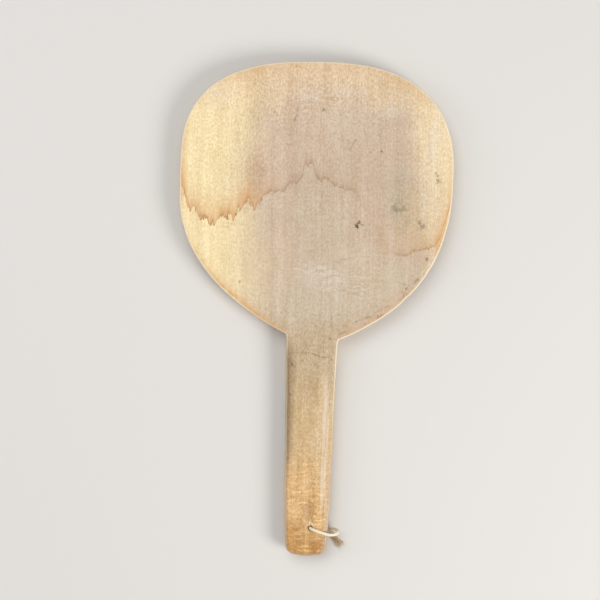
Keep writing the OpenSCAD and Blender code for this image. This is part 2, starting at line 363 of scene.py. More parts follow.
def halfOutline(hand, shape):
    # one side from the middle of the top to the middle of the end: superellipse shoulder, straight side,
    # cubic cheek, handle edge that swells as share squared times what is left, corner arc and bowed end
    shoulderSteps, curveSteps, arcSteps, bowSteps = 600, 300, 60, 40
    pick = 0 if hand < 0 else 1
    half, neckHalf, endHalf = shape["bladeWidth"] / 2, shape["neckWidth"] / 2, shape["endWidth"] / 2
    a = np.linspace(math.pi / 2, 0.0, shoulderSteps)
    power = 2.0 / shape["shoulderFullness"][pick]
    shoulder = np.column_stack([
        shape["topOffset"] + (hand * half - shape["topOffset"]) * np.abs(np.cos(a)) ** power,
        shoulderY + shape["shoulderDepth"] * np.abs(np.sin(a)) ** power])
    start = np.array([hand * half, shoulderY - shape["sideRun"][pick]])
    corner = np.array([hand * neckHalf, neckY - hand * shape["neckStagger"] / 2])
    drop = np.array([0.0, (start[1] - corner[1]) * shape["cheekFullness"][pick]])
    slope = math.radians(shape["neckSlope"])
    run = (half - neckHalf) * shape["neckRun"][pick] * np.array([hand * math.cos(slope), math.sin(slope)])
    s = np.linspace(0.0, 1.0, curveSteps)[:, None]
    cheek = ((1 - s) ** 3 * start + 3 * (1 - s) ** 2 * s * (start - drop)
             + 3 * (1 - s) * s ** 2 * (corner + run) + s ** 3 * corner)
    radius, flat = shape["endRadius"], endHalf - shape["endRadius"]
    cornerY = endY + shape["endBow"] + radius
    b = np.linspace(0.0, math.pi / 2, arcSteps)
    arc = np.column_stack([hand * (flat + radius * np.cos(b)), cornerY - radius * np.sin(b)])
    s = s[1:-1]
    grip = corner + (arc[0] - corner) * s
    swellPeak = 4 / 27   # the largest value of share squared times what is left
    grip[:, 0] += hand * shape["handleSwell"] * s[:, 0] ** 2 * (1 - s[:, 0]) / swellPeak
    w = np.linspace(1.0, 0.0, bowSteps)[1:]
    bow = np.column_stack([hand * flat * w, endY + shape["endBow"] * w ** 2])
    return np.vstack([shoulder, cheek, grip, arc, bow]), corner, arc[0]


def softLine(line, shape):
    # a closed line in equal small steps, softened by a bell-shaped average along its length
    step = np.linalg.norm(np.diff(line, axis=0), axis=1)
    line, step = line[np.concatenate([[True], step > 1e-9])], step[step > 1e-9]
    reach = np.concatenate([[0.0], np.cumsum(step)])
    count = int(round(reach[-1] / shape["outlineStep"]))
    even = np.arange(count) * reach[-1] / count
    dense = np.column_stack([np.interp(even, reach, line[:, k]) for k in range(2)])
    width = shape["cornerSoftness"] / shape["outlineStep"]
    offsets = np.arange(-int(4 * width), int(4 * width) + 1)
    bell = np.exp(-0.5 * (offsets / width) ** 2)
    bell /= bell.sum()
    padded = np.vstack([dense[offsets[0]:], dense, dense[:offsets[-1]]])
    return np.column_stack([np.convolve(padded[:, k], bell, mode="valid") for k in range(2)])


def outlineAt(shape):
    # the closed outline, anticlockwise from the top, with as many points on the left as on the right, and the
    # direction outwards at each: it strays inwards by a sum of waves
    left, leftCorner, leftEnd = halfOutline(-1, shape)
    right, rightCorner, rightEnd = halfOutline(1, shape)
    soft = softLine(np.vstack([left, right[::-1][1:]]), shape)
    count = len(soft)
    turningPoints = (leftCorner, leftEnd, np.array([0.0, endY]), rightEnd, rightCorner)
    stops = [0, *(int(np.argmin(((soft - point) ** 2).sum(1))) for point in turningPoints), count]
    cells = [shape["bladeCells"], shape["handleCells"], shape["endCells"]]
    u = np.concatenate([np.linspace(stops[k], stops[k + 1], n, endpoint=False)
                        for k, n in enumerate(cells + cells[::-1])])
    closed = np.vstack([soft, soft[:1]])
    points = np.column_stack([np.interp(u, np.arange(count + 1), closed[:, k]) for k in range(2)])
    heading = unitRows(np.gradient(np.vstack([soft[-5:], soft, soft[:5]]), axis=0)[5:-5])
    heading = unitRows(np.column_stack([np.interp(u, np.arange(count), heading[:, k]) for k in range(2)]))
    outward = np.column_stack([heading[:, 1], -heading[:, 0]])
    turn = 2 * math.pi * u / count
    stray = sum(share * np.sin(waves * turn + start) for waves, start, share in shape["wobbleWaves"])
    return points + outward * (stray - shape["wobbleInwards"])[:, None] * shape["handWobble"], outward


def roundAt(y, shape):
    # the rounding of the edge is least at the neck and grows smoothly along the blade and the grip
    grow = smoothShare(np.abs(y - neckY) / shape["roundFade"])
    full = np.where(y > neckY, shape["bladeRound"], shape["gripRound"])
    return shape["neckRound"] + grow * (full - shape["neckRound"])


def undersideAt(y, shape):
    # the handle's underside rises in a straight line towards its end
    start = neckY - shape["neckStagger"]
    return shape["handleRise"] * np.maximum(0.0, start - y) / (start - endY)


def innerLine(points, shape):
    # where the face's grid lines start: down the middle of the blade and the handle, and then round the hole
    count = len(points)
    number = np.arange(count)
    half = np.minimum(number, count - number)
    level = 0.5 * (points[:, 1] + points[-number % count, 1])
    holeX, holeY = twineShape["hole"]
    mouth = shape["holeRadius"] + shape["mouthWear"]
    ringFrom = int(np.argmax(level[: count // 2] < holeY + shape["ringReach"]))
    y = np.interp(level, [level[ringFrom], neckY, topY], [holeY + mouth, neckY, shape["middleTop"]])
    shiftFrom, shiftOver = shape["middleShift"]
    x = holeX * smoothShare((neckY - shiftFrom - y) / shiftOver)
    share = np.clip((half - ringFrom) / (count // 2 - ringFrom), 0.0, 1.0)
    angle = math.pi / 2 + np.where(number <= count // 2, 1.0, -1.0) * math.pi * share
    onRing = half >= ringFrom
    x = np.where(onRing, holeX + mouth * np.cos(angle), x)
    y = np.where(onRing, holeY + mouth * np.sin(angle), y)
    return np.column_stack([x, y]), angle[ringFrom:count - ringFrom + 1]


def boardRows(outline, outward, inner, shape):
    # each outline point carries a profile: out over the face, round the rim, in over the back's bevel and
    # along the back to the middle line again; a row holds places, heights, distances from the rim, and the
    # shares of face and of side
    def drawnIn(inset):
        return outline - outward * inset[:, None]

    y = outline[:, 1]
    r = roundAt(y, shape)
    bevel = smoothShare((y - neckY - shape["neckStagger"]) / shape["bevelFade"])
    under = undersideAt(y, shape)
    rimZ = under + shape["bevelRise"] * bevel
    bevelIn = np.maximum(r + shape["leastBevel"], shape["bevelWidth"] * bevel)
    quarter = np.linspace(0.0, math.pi / 2, shape["roundRows"])
    rows = []
    spread = drawnIn(r) - inner
    for a in np.linspace(0.0, math.pi / 2, shape["faceRows"], endpoint=False):
        s = math.sin(a) ** shape["faceSpacing"]
        rows.append((inner + spread * s, boardTop, np.linalg.norm(spread * (1 - s), axis=1) + r, 1.0, 0.0))
    for a in quarter:
        inset, up = r * (1 - math.sin(a)), max(0.0, math.cos(a))
        rows.append((drawnIn(inset), boardTop - r * (1 - up), inset, up ** 0.5, math.sin(a)))
    for a in quarter:
        inset, out = r * (1 - math.cos(a)), max(0.0, math.cos(a))
        rows.append((drawnIn(inset), rimZ + r * (1 - math.sin(a)), inset, 0.0, out))
    for s in np.linspace(0.0, 1.0, shape["bevelRows"])[1:]:
        inset = r + (bevelIn - r) * s
        rows.append((drawnIn(inset), rimZ + (under - rimZ) * s, inset, 0.0, 0.0))
    backEdge = drawnIn(bevelIn)
    for s in np.linspace(0.0, 1.0, shape["backRows"])[1:]:
        xy = backEdge + (inner - backEdge) * s
        inset = bevelIn + np.linalg.norm(xy - backEdge, axis=1)
        rows.append((xy, undersideAt(xy[:, 1], shape), inset, 0.0, 0.0))
    count = len(outline)
    places, *rest = zip(*rows)
    z, gap, onFace, onSide = (np.stack([np.broadcast_to(row, count) for row in each]) for each in rest)
    points = np.concatenate([np.stack(places), z[..., None]], -1).reshape(-1, 3)
    onEnd = onSide * outward[:, 1] ** 2
    grids = {"rimGap": gap, "faceShare": onFace, "sideShare": onSide, "endShare": onEnd}
    fields = {name: grid.reshape(-1) for name, grid in grids.items()}
    return points, gridQuads(len(rows), count, True), fields


def holeWall(angle, shape):
    # a ring that narrows from the worn mouth, runs down and widens again
    holeX, holeY = twineShape["hole"]
    depth = np.linspace(0.0, 1.0, shape["holeRows"])[:, None]
    low = undersideAt(holeY + (shape["holeRadius"] + shape["mouthWear"]) * np.sin(angle), shape)[None]
    z = boardTop + (low - boardTop) * depth
    worn = 1.0 - np.clip(np.minimum(boardTop - z, z - low) / shape["mouthDepth"], 0.0, 1.0)
    wide = shape["holeRadius"] + shape["mouthWear"] * worn ** 2
    wall = np.stack([holeX + wide * np.cos(angle), holeY + wide * np.sin(angle), z], -1)
    return wall.reshape(-1, 3), gridQuads(len(depth), len(angle), False)[:, ::-1]


def wearBoard(points, onFace, shape):
    # the face's plane marks, a sum of three slow waves, its cupping, which grows with x squared, and the
    # bell-shaped knocks in its rim
    x, y = points[:, 0], points[:, 1]
    ripple = (np.sin(x / 9.0 + 0.4 * np.sin(y / 31.0)) * 0.5 + np.sin(x / 4.3 + y / 60.0 + 1.0) * 0.25
              + np.sin(y / 37.0 + x / 50.0) * 0.6)
    cupped = shape["cupping"] * (x / shape["cuppingReach"]) ** 2
    points[:, 2] += onFace * (shape["planeMarks"] * (ripple - 1.0) - cupped)
    for dentX, dentY, reach, deep in shape["dents"]:
        near = np.exp(-((x - dentX) ** 2 + (y - dentY) ** 2) / reach ** 2)
        near *= points[:, 2] > shape["dentsAbove"]
        points[:, 0] -= near * deep * np.sign(dentX)
        points[:, 2] -= near * deep * shape["dentDrop"]


def makeBoard(shape):
    outline, outward = outlineAt(shape)
    inner, ringAngle = innerLine(outline, shape)
    points, quads, fields = boardRows(outline, outward, inner, shape)
    wall, wallQuads = holeWall(ringAngle, shape)
    quads = np.vstack([quads, wallQuads + len(points)])
    points = np.vstack([points, wall])
    inHole = {"rimGap": 6.0, "faceShare": 0.0, "sideShare": 0.6, "endShare": 0.0}
    first, faces = weld(points, quads, shape["weldStep"])
    points = points[first]
    fields = {name: np.concatenate([values, np.full(len(wall), inHole[name])])[first]
              for name, values in fields.items()}
    wearBoard(points, fields["faceShare"], shape)
    return makePiece("board", points, faces, fields)


board = makeBoard(boardShape)
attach(board, "paddle")
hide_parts("paddle")
print("board made:", len(board.data.polygons), "cells")


def paint(red, green, blue):
    # a colour written as it looks on a screen, 0 to 255, in Blender's linear numbers
    c = np.array([red, green, blue]) / 255.0
    c = np.where(c <= 0.04045, c / 12.92, ((c + 0.055) / 1.055) ** 2.4)
    return (*c.tolist(), 1.0)


class NodeDesk:
    # short calls that each add a node or two to a tree and give the last one's output
    def __init__(self, tree):
        self.tree = tree

    def fill(self, node, inputs):
        # each input takes a link from another node, or a constant of its own
        for key, value in inputs.items():
            if isinstance(value, bpy.types.NodeSocket):
                self.tree.links.new(value, node.inputs[key])
            else:
                node.inputs[key].default_value = value

    def add(self, kind, inputs, output=0, **settings):
        node = self.tree.nodes.new(kind)
        for key, value in settings.items():
            setattr(node, key, value)
        self.fill(node, inputs)
        return node.outputs[output]

    def calc(self, operation, a, b=0.0):
        return self.add("ShaderNodeMath", {0: a, 1: b}, operation=operation)

    def fold(self, operation, values):
        return functools.reduce(lambda a, b: self.calc(operation, a, b), values)

    def times(self, *values):
        return self.fold("MULTIPLY", values)

    def plus(self, *terms):
        # terms added up: a term in brackets is a product
        return self.fold("ADD", (self.times(*term) if isinstance(term, tuple) else term for term in terms))

    def step(self, value, low, high, start=0.0, end=1.0):
        # from start to end, smoothly, as the value goes from low to high
        return self.add("ShaderNodeMapRange", {0: value, 1: low, 2: high, 3: start, 4: end},
                        interpolation_type="SMOOTHSTEP")

    def mix(self, share, a, b, mode="MIX"):
        return self.add("ShaderNodeMix", {0: share, 6: a, 7: b}, 2, data_type="RGBA", blend_type=mode)

    def vector(self, operation, a, b=(0.0, 0.0, 0.0)):
        output = "Value" if operation in ("DOT_PRODUCT", "LENGTH") else "Vector"
        return self.add("ShaderNodeVectorMath", {0: a, 1: b}, output, operation=operation)

    def scaled(self, vector, factor):
        return self.add("ShaderNodeVectorMath", {0: vector, "Scale": factor}, operation="SCALE")

    def placesInMm(self):
        return self.scaled(self.add("ShaderNodeTexCoord", {}, "Object"), 1 / mm)

    def noise(self, places, waves, detail=2.0, rough=0.5):
        inputs = {"Vector": self.vector("MULTIPLY", places, waves), "Scale": 1.0, "Detail": detail}
        return self.add("ShaderNodeTexNoise", {**inputs, "Roughness": rough}, "Fac")

    def field(self, name):
        return self.add("ShaderNodeAttribute", {}, "Fac", attribute_name=name)

    def curve(self, value, low, high, points):
        # a curve drawn through given points: value from low to high across, and numbers from 0 to 1 up
        share = self.add("ShaderNodeMapRange", {0: value, 1: low, 2: high}, clamp=False)
        node = self.tree.nodes.new("ShaderNodeFloatCurve")
        self.fill(node, {"Value": share})
        line = node.mapping.curves[0]
        spots = [((x - low) / (high - low), y) for x, y in points]
        line.points[0].location = spots[0]
        line.points[-1].location = spots[-1]
        for x, y in spots[1:-1]:
            line.points.new(x, y)
        for point in line.points:
            point.handle_type = "VECTOR"
        node.mapping.update()
        return node.outputs["Value"]


def startMaterial(name):
    material = bpy.data.materials.new(name)
    material.use_nodes = True
    return material, material.node_tree.nodes["Principled BSDF"]


# Old scrubbed wood: places in mm on the board, colours as they look
woodLook = {
    "heart": paint(206, 182, 158),
    "heartGrey": paint(204, 184, 160),
    "topTan": paint(229, 201, 163),
    "rayGold": paint(243, 205, 146),
    "stain": paint(164, 112, 72),
    "stainFaint": paint(158, 127, 100),
    "stainSmear": paint(203, 149, 96),
    "stainDull": paint(178, 149, 121),
    "stainWash": paint(221, 172, 116),
    "grime": paint(216, 162, 98),
    "grimePeach": paint(218, 172, 128),
    # painted shade on the grip's rounded edges: the left side brown above and amber below, the right rim
    # below
    "gripShade": paint(145, 119, 85),
    "gripShadeAmber": paint(190, 138, 76),
    "gripRightShade": paint(184, 156, 128),
    "soot": paint(86, 71, 50),
    # pale wear and painted highlight along the very edge; the pale scratches use it too
    "paleWearAndHighlight": paint(252, 240, 214),
    # painted highlight on the grip's right rounding
    "gripHighlight": paint(240, 224, 203),
    "sideTan": paint(206, 176, 134),
    "endTan": paint(178, 142, 100),
    "ringBrown": paint(150, 114, 76),
    "backTan": paint(204, 178, 142),
    "haze": paint(228, 217, 204),
    "smudge": paint(112, 106, 86),
    "bend": ((0.012, 0.006, 0.02), 9),   # slow noise that bends the fibres sideways: waves per mm, reach
    "sway": ((0.11, 0.07, 0.1), 9),      # the same for what lies across them, up and down
    "noises": {     # the places it is read at, waves per mm along x, y and z, detail, roughness
        "streak": ("bent", (0.2, 0.005, 0.25), 5, 0.6),
        "band": ("bent", (0.1, 0.006, 0.15), 1, 0.5),
        "fibre": ("bent", (1.3, 0.055, 1.1), 4, 0.6),
        "fleck": ("bent", (1.05, 0.52, 0.9), 3, 0.7),
        "cloud": ("spot", (0.035, 0.022, 0.05), 4, 0.55),
        "blotch": ("bent", (0.2, 0.09, 0.2), 3, 0.6),
        "clump": ("spot", (0.42, 0.34, 0.4), 3, 0.65),
        "ripple": ("swayed", (0.17, 0.75, 0.4), 3, 0.6),
        "lines": ("swayed", (0.05, 1.5, 0.4), 2, 0.5),
        "rag": ("bent", (1.25, 0.12, 0.1), 4, 0.7),
        "finger": ("bent", (0.42, 0.03, 0.1), 3, 0.6),
        "teeth": ("spot", (0.72, 0.2, 0.3), 2, 0.6),
        "ragged": ("spot", (0.8, 0.8, 0.8), 3, 0.7),
        "saw": ("spot", (1.7, 1.7, 0.1), 3, 0.6),
    },
    "grain": {"streak": 0.4, "fibre": 0.3, "fleck": 1.5, "ripple": 0.3, "blotch": 0.22, "lines": 0.75},
    "grainTint": (0.74, 1, 1.42),        # dark grain is browner and light grain whiter
    "fleckAlong": [  # y and share of the flecks: quiet under the blade's middle, rough at its top and neck
        (-153, 0.87), (-100, 0.86), (-66, 0.78), (-45, 0.9), (-32, 0.97), (-12, 0.72), (14, 0.46), (51, 0.56),
        (103, 0.65), (120, 0.7), (139, 0.82), (153, 0.86),
    ],
    "creamZones": [  # x where it starts and is full, colour, flecks on its edge, shifts: from y, to y, by mm
        (-22, -58, paint(246, 224, 176), 0, [(114, 86, 7), (78, 50, -3.5)]),
        (57, 82, paint(239, 216, 176), 8, [(70, 108, 10), (62, 40, -5)]),
    ],
    "handleZones": [    # y where it starts and is full, colour
        (4, -30, paint(195, 172, 139)), (-32, -72, paint(208, 178, 134)),
        (-78, -112, paint(221, 182, 130)), (-122, -146, paint(193, 145, 85)),
    ],
    "blooms": [     # x, y, half width, half height, colour, strength of soft patches in the heartwood
        (-24, 104, 20, 44, paint(213, 185, 161), 0.6),
        (34, 80, 20, 44, paint(203, 177, 152), 0.6),
        (51, 72, 9, 19, paint(190, 177, 153), 0.6),
        (4, 6, 44, 22, paint(204, 188, 164), 0.7),
        (46, 20, 22, 14, paint(207, 190, 161), 0.6),
        (-28, 24, 17, 26, paint(212, 190, 161), 0.5),
        (62, 58, 12, 22, paint(206, 182, 146), 0.6),
        (12, 118, 20, 12, paint(211, 191, 165), 0.5),
    ],
    "overlays": [   # the same for patches that lie over the zones of colour
        (-57, 131, 17, 14, paint(246, 221, 178), 0.7),
        (25, 35, 15, 7, paint(215, 199, 174), 0.4),
        (-37, 81, 6.5, 17, paint(194, 160, 129), 0.5),
        (-43, 68, 5, 5, paint(200, 156, 118), 0.3),
        (-14.6, 81.5, 3.5, 3.5, paint(186, 162, 136), 0.5),
        (8, 80, 44, 15, paint(197, 173, 148), 0.28),
        (41, 139, 12, 8, paint(206, 180, 146), 0.35),
        (6.5, -72, 5.5, 42, paint(221, 193, 154), 0.6),
        (0.8, -125, 4.6, 8, paint(190, 150, 106), 0.75),
        (8, -147, 6, 7, paint(186, 134, 72), 0.6),
    ],
    "chatter": [    # x, y, half width, half height of patches of fine lines across the grain
        (5, 22, 26, 13), (4, 124, 17, 13), (30, 13, 12, 9),
    ],
    "rays": [       # x, y, half width, half height, spacing, strength of bars of ray figure
        (6.9, -128, 2.7, 6.2, 2.3, 0.75), (-5.4, -127.5, 2.4, 3.4, 2.6, 0.6), (-3, -113, 4.2, 2.4, 2.8, 0.8),
        (-3.2, -119.3, 3.4, 1.9, 2.2, 0.7), (7.2, -113.5, 3, 3.6, 2.9, 0.6),
        (-4.6, -139.6, 3.4, 2.8, 2.7, 0.65), (-0.6, -147.6, 5.2, 2.6, 2.5, 0.5), (1, -98, 7, 8, 2.7, 0.35),
        (0, 124, 12, 10, 2.2, 0.12),
    ],
    "tideSpan": (-84, 84),
    "tideRange": (30, 92),
    "tideLine": [   # x, y of the stain's edge, from the left rim to the right one
        (-83, 74.5), (-81, 67), (-79, 61), (-77.5, 58), (-75, 59.5), (-73.5, 57.5), (-72, 54.5), (-70.5, 53),
        (-68.5, 54), (-66, 51), (-64.5, 50.5), (-63.5, 51.5), (-61.5, 50), (-60, 53), (-57, 55.5),
        (-55, 54.5), (-52.5, 56.5), (-50.5, 53.5), (-49.5, 55), (-48, 59.5), (-45.5, 60), (-43.5, 63.5),
        (-41.5, 66), (-38, 60), (-36.5, 62), (-33, 66), (-31.5, 69.5), (-27.5, 71), (-22, 71.5), (-20, 71),
        (-18, 74.5), (-16.5, 77), (-13, 77), (-12, 76), (-11, 78.5), (-8.5, 81.5), (-7.5, 91), (-6, 87.5),
        (-5, 87.5), (-3, 91), (-1.5, 83.5), (0, 81), (2.5, 78.5), (4, 80), (5.5, 80.5), (8.5, 77), (9.5, 78),
        (11, 75), (12.5, 76), (14, 73.5), (15.5, 75), (19.5, 73), (22, 73.5), (25, 71.5), (28.5, 63),
        (33.5, 59.5), (35, 52), (38.5, 48), (44.5, 37.5), (50, 34.5), (56.5, 34), (61.5, 37.5), (63, 37),
        (68, 38.5), (70.5, 39), (72.5, 40.5), (73.5, 40), (77, 45.5), (81, 59.5),
    ],
    "washStrength": [   # x and strength, as in the next three
        (-84, 0.8), (-72, 0.72), (-62, 0.8), (-50, 0.95), (-42, 0.85), (-34, 0.45), (-26, 0.16), (-12, 0.06),
        (24, 0.06), (44, 0.1), (60, 0.2), (72, 0.36), (84, 0.65),
    ],
    "frontStrength": [
        (-84, 1), (-40, 1), (-32, 0.9), (-24, 0.8), (-16, 0.85), (-8, 0.95), (0, 0.95), (18, 0.85), (24, 0.5),
        (28, 0.25), (34, 0.12), (44, 0.12), (50, 0.5), (60, 0.8), (72, 0.95), (84, 1),
    ],
    "smearStrength": [
        (-84, 0.85), (-72, 0.85), (-40, 0.95), (-30, 0.7), (-20, 0.62), (-8, 0.7), (0, 0.7), (16, 0.7),
        (26, 0.35), (32, 0.16), (44, 0.14), (52, 0.3), (60, 0.35), (72, 0.45), (84, 0.7),
    ],
    "frontBrown": [  # 0 where the front is a faint grey, 1 where it is brown
        (-84, 1), (-37, 0.9), (-28, 0.2), (-20, 0), (50, 0), (64, 0.7), (84, 1),
    ],
    "specks": [     # x, y, reach, darkness
        (25.4, 51.6, 1.6, 0.95), (26.8, 53.9, 1.4, 0.8), (28.8, 52.6, 1, 0.5), (66, 52.7, 2.1, 0.5),
        (64.2, 55, 1.7, 0.4), (75, 81, 1.8, 0.5), (74, 84.2, 1.1, 0.4), (73.4, 86, 0.9, 0.4),
        (2.8, 122.6, 0.9, 0.65), (39.5, 98, 0.8, 0.65), (23, 104.5, 0.9, 0.3), (-45.5, 15.6, 0.9, 0.5),
        (-27.3, 120.4, 0.8, 0.4), (-25.5, 118.4, 0.6, 0.4), (-29, 122, 0.6, 0.3), (57.3, 14.3, 1, 0.65),
        (55.6, 10.2, 0.9, 0.5), (64, 20, 0.8, 0.5), (69.2, 32.5, 1.2, 0.5), (-11.7, -34.2, 1.1, 0.65),
        (-12.6, -53, 1, 0.4), (12.3, -31.2, 0.6, 0.5), (11.6, -18.2, 1.2, 0.3), (-9.6, -16.6, 0.9, 0.25),
        (34, -3.4, 1.3, 0.3), (-59.5, 121.5, 0.8, 0.3), (40.4, -3.6, 1.2, 0.65), (42.2, -2.8, 0.8, 0.5),
        (56.2, 7.6, 1, 0.5), (2.4, -10.4, 0.9, 0.3), (19.6, -9.4, 0.9, 0.3),
    ],
    "smudges": [    # x, y, half width, half height, strength of soft grey marks
        (48.4, 63.5, 2.6, 3, 0.42), (54.1, 63.6, 2.8, 2.2, 0.36), (51.5, 61.9, 3, 2, 0.4),
        (56.6, 55.8, 2.4, 3.2, 0.2), (50.6, 67.4, 2.4, 3.6, 0.16), (54, 50, 3, 4, 0.1),
    ],
    "hazes": [      # x, y, half width, half height, strength of pale scrubbed patches
        (20.3, 134.2, 9, 4, 0.25), (45.2, 123.2, 8, 5, 0.25), (4, 20.4, 16, 10, 0.25),
        (-59.6, 130.6, 9, 7, 0.2), (-8, 131, 12, 5, 0.2), (72, 104, 5, 16, 0.3), (66.5, 66, 3, 12, 0.2),
    ],
    "scratches": [  # from x, y to x, y, half width, strength: dark above 0, pale below
        (-12.1, -27.2, -0.2, -27.2, 0.3, 0.25), (-0.2, -27.2, 6.2, -29.5, 0.34, 0.4),
        (6.2, -29.5, 11.6, -29.4, 0.36, 0.4), (11.6, -29.4, 13.4, -31.4, 0.3, 0.2),
        (7, -20.5, 7.2, -29.5, 0.3, 0.15), (-1, -3.9, 5.4, -3.4, 0.3, 0.2), (3, -34.6, 9, -34.9, 0.3, 0.15),
        (3.6, -16.6, 10.5, -16.4, 0.3, 0.15), (11, -0.6, 11.6, -6.2, 0.3, 0.15),
        (14.5, -3.5, 20.5, -2.8, 0.3, 0.2), (15.2, 30.4, 22.8, 32, 0.3, 0.25), (14, 29, 17, 29.4, 0.25, 0.2),
        (26, 13.5, 33.5, 15.6, 0.3, 0.15), (27, 10.5, 34, 12.8, 0.3, 0.15),
        (-14.8, 114.7, -13.4, 120, 0.34, 0.4), (-13.4, 120, -12.8, 124.6, 0.3, 0.4),
        (20.6, 99.5, 23.4, 105, 0.3, 0.25), (2.1, -130.4, 1.5, -133.2, 0.26, -0.7),
        (3.2, -131.8, 4.1, -133, 0.24, -0.7), (1.4, -131.4, 2.6, -131.2, 0.2, -0.4),
        (-13.4, -46, -13, -58, 0.4, 0.2), (64.3, 20.4, 61.8, 17.6, 0.5, 0.4),
        (57.8, 16.2, 54.6, 17, 0.4, 0.25), (54, 12.4, 57.2, 11.2, 0.4, 0.25),
        (57.2, 11.2, 57.8, 9.4, 0.4, 0.4), (55.4, 8.8, 53, 6.8, 0.5, 0.25), (42.6, 1.4, 39, -0.9, 0.6, 0.25),
        (43.4, -2.2, 40.2, -4.4, 0.6, 0.4), (36, -3.6, 31, -5.2, 0.5, 0.2), (31, -5.2, 25.4, -7.6, 0.5, 0.2),
        (20.6, -13.2, 17.6, -14.8, 0.6, 0.25), (47.6, 3.2, 44.6, 2.4, 0.6, 0.2),
    ],
    "grimeEdge": 1.2,   # how far in from the rim the grime is full, mm
    "rimGrime": [   # x, y, reach along the rim, reach inwards, strength
        (-74, 36, 13, 3, 0.3), (-64, 22, 13, 4, 0.55), (-52, 11, 12, 4.8, 0.85), (-40, 2, 11, 6.5, 0.95),
        (-28, -6, 10, 5.5, 0.62), (-19, -11.5, 6, 4, 0.4), (79.5, 52, 11, 3, 0.85), (76.5, 41, 6, 3, 0.7),
        (36.6, -2.5, 9, 5.5, 0.85), (22, -11, 7, 6, 0.9), (57, 11, 8, 4.5, 0.7), (47, 3, 6, 5, 0.7),
        (-50, 138, 10, 4, 0.5), (-36, 144.5, 8, 4.5, 0.55), (-16, 149, 10, 3.5, 0.3), (30, 150, 22, 4, 0.25),
        (52, 138, 14, 5, 0.4), (-82.6, 76, 14, 2.6, 0.8), (-82, 100, 16, 2.6, 0.5), (83, 80, 14, 2, 0.35),
    ],
}


def addRimGrime(mesh, look):
    # grime = sum of strength * bell of the distance from each spot, fading inwards from the rim
    points = np.empty(len(mesh.vertices) * 3, np.float32)
    mesh.vertices.foreach_get("co", points)
    x, y, _ = points.reshape(-1, 3).T / mm
    gap = np.empty(len(mesh.vertices), np.float32)
    mesh.attributes["rimGap"].data.foreach_get("value", gap)
    inside = np.maximum(0.0, gap - look["grimeEdge"])
    total = np.zeros(len(gap))
    for spotX, spotY, reach, inwards, strength in look["rimGrime"]:
        near = np.exp(-((x - spotX) ** 2 + (y - spotY) ** 2) / reach ** 2)
        total += strength * near * np.exp(-(inside / inwards) ** 1.5)
    setField(mesh, "grime", np.clip(total, 0, 1))


class WoodDesk(NodeDesk):
    # a desk with the board's places, kinds of surface and noises at hand, and the colour so far
    def __init__(self, tree, look):
        super().__init__(tree)
        self.spot = self.placesInMm()
        self.x, self.y, self.z = self.add("ShaderNodeSeparateXYZ", {0: self.spot}).node.outputs
        self.flat = self.add("ShaderNodeCombineXYZ", {0: self.x, 1: self.y})
        self.onFace, self.rimGap, self.onSide = map(self.field, ("faceShare", "rimGap", "sideShare"))
        self.wall = self.step(self.onSide, 0.55, 0.95)
        bendWaves, bendReach = look["bend"]
        self.bent = self.moved(0, self.noise(self.spot, bendWaves), bendReach)
        swayWaves, swayReach = look["sway"]
        self.sway = self.noise(self.spot, swayWaves)
        self.swayed = self.moved(1, self.sway, swayReach)
        for name, (places, *kind) in look["noises"].items():
            setattr(self, name, self.calc("SUBTRACT", self.noise(getattr(self, places), *kind), 0.5))
        self.lowY = self.plus(self.y, (self.cloud, 40.0))
        self.color = self.mix(self.step(self.cloud, -0.12, 0.12), look["heart"], look["heartGrey"])

    def moved(self, axis, share, reach):
        # places moved along one axis
        move = self.add("ShaderNodeCombineXYZ", {axis: self.times(share, reach)})
        return self.vector("ADD", self.spot, move)

    def inPatch(self, x, y, wide, high):
        # distance from a patch's middle, 1 at its oval edge
        off = self.vector("SUBTRACT", self.flat, (x, y, 0.0))
        return self.vector("LENGTH", self.vector("MULTIPLY", off, (1 / wide, 1 / high, 0.0)))

    def fromLine(self, x, y, endX, endY, reach):
        # the same for a narrow oval between two points, whose tips thin out
        length = math.hypot(endX - x, endY - y)
        runX, runY = (endX - x) / length, (endY - y) / length
        half = 0.4 * length + reach   # half its length
        off = self.vector("SUBTRACT", self.flat, ((x + endX) / 2, (y + endY) / 2, 0.0))
        along = self.vector("DOT_PRODUCT", off, (runX / half, runY / half, 0.0))
        across = self.vector("DOT_PRODUCT", off, (-runY / reach, runX / reach, 0.0))
        return self.vector("LENGTH", self.add("ShaderNodeCombineXYZ", {0: along, 1: across}))

    def nearest(self, measure, rows):
        return self.fold("MINIMUM", (measure(*row) for row in rows))

    def cover(self, share, tint):
        self.color = self.mix(share, self.color, tint)


def byStrength(rows):
    # marks of one strength go together, in rising order
    return [(strength, [row[:-1] for row in rows if row[-1] == strength])
            for strength in sorted({row[-1] for row in rows})]


def layZones(wood, look):
    # broad zones of colour, with wandering edges
    for *oval, tint, share in look["blooms"]:
        reach = wood.plus(wood.inPatch(*oval), (wood.cloud, 1.4))
        wood.cover(wood.step(reach, 1.4, 0.3, 0, share), tint)
    wander = wood.plus((wood.cloud, 22), (wood.band, 14))
    for start, full, tint, flecked, shifts in look["creamZones"]:
        moves = [wood.step(wood.y, low, high, 0, by) for low, high, by in shifts]
        wood.cover(wood.step(wood.plus(wood.x, wander, *moves, (wood.fleck, flecked)), start, full), tint)
    highY = wood.plus(wood.y, (wood.cloud, 50), (wood.fleck, 26))
    wood.cover(wood.step(highY, 116, 146, 0, 0.8), look["topTan"])
    for start, full, tint in look["handleZones"]:
        wood.cover(wood.step(wood.lowY, start, full), tint)


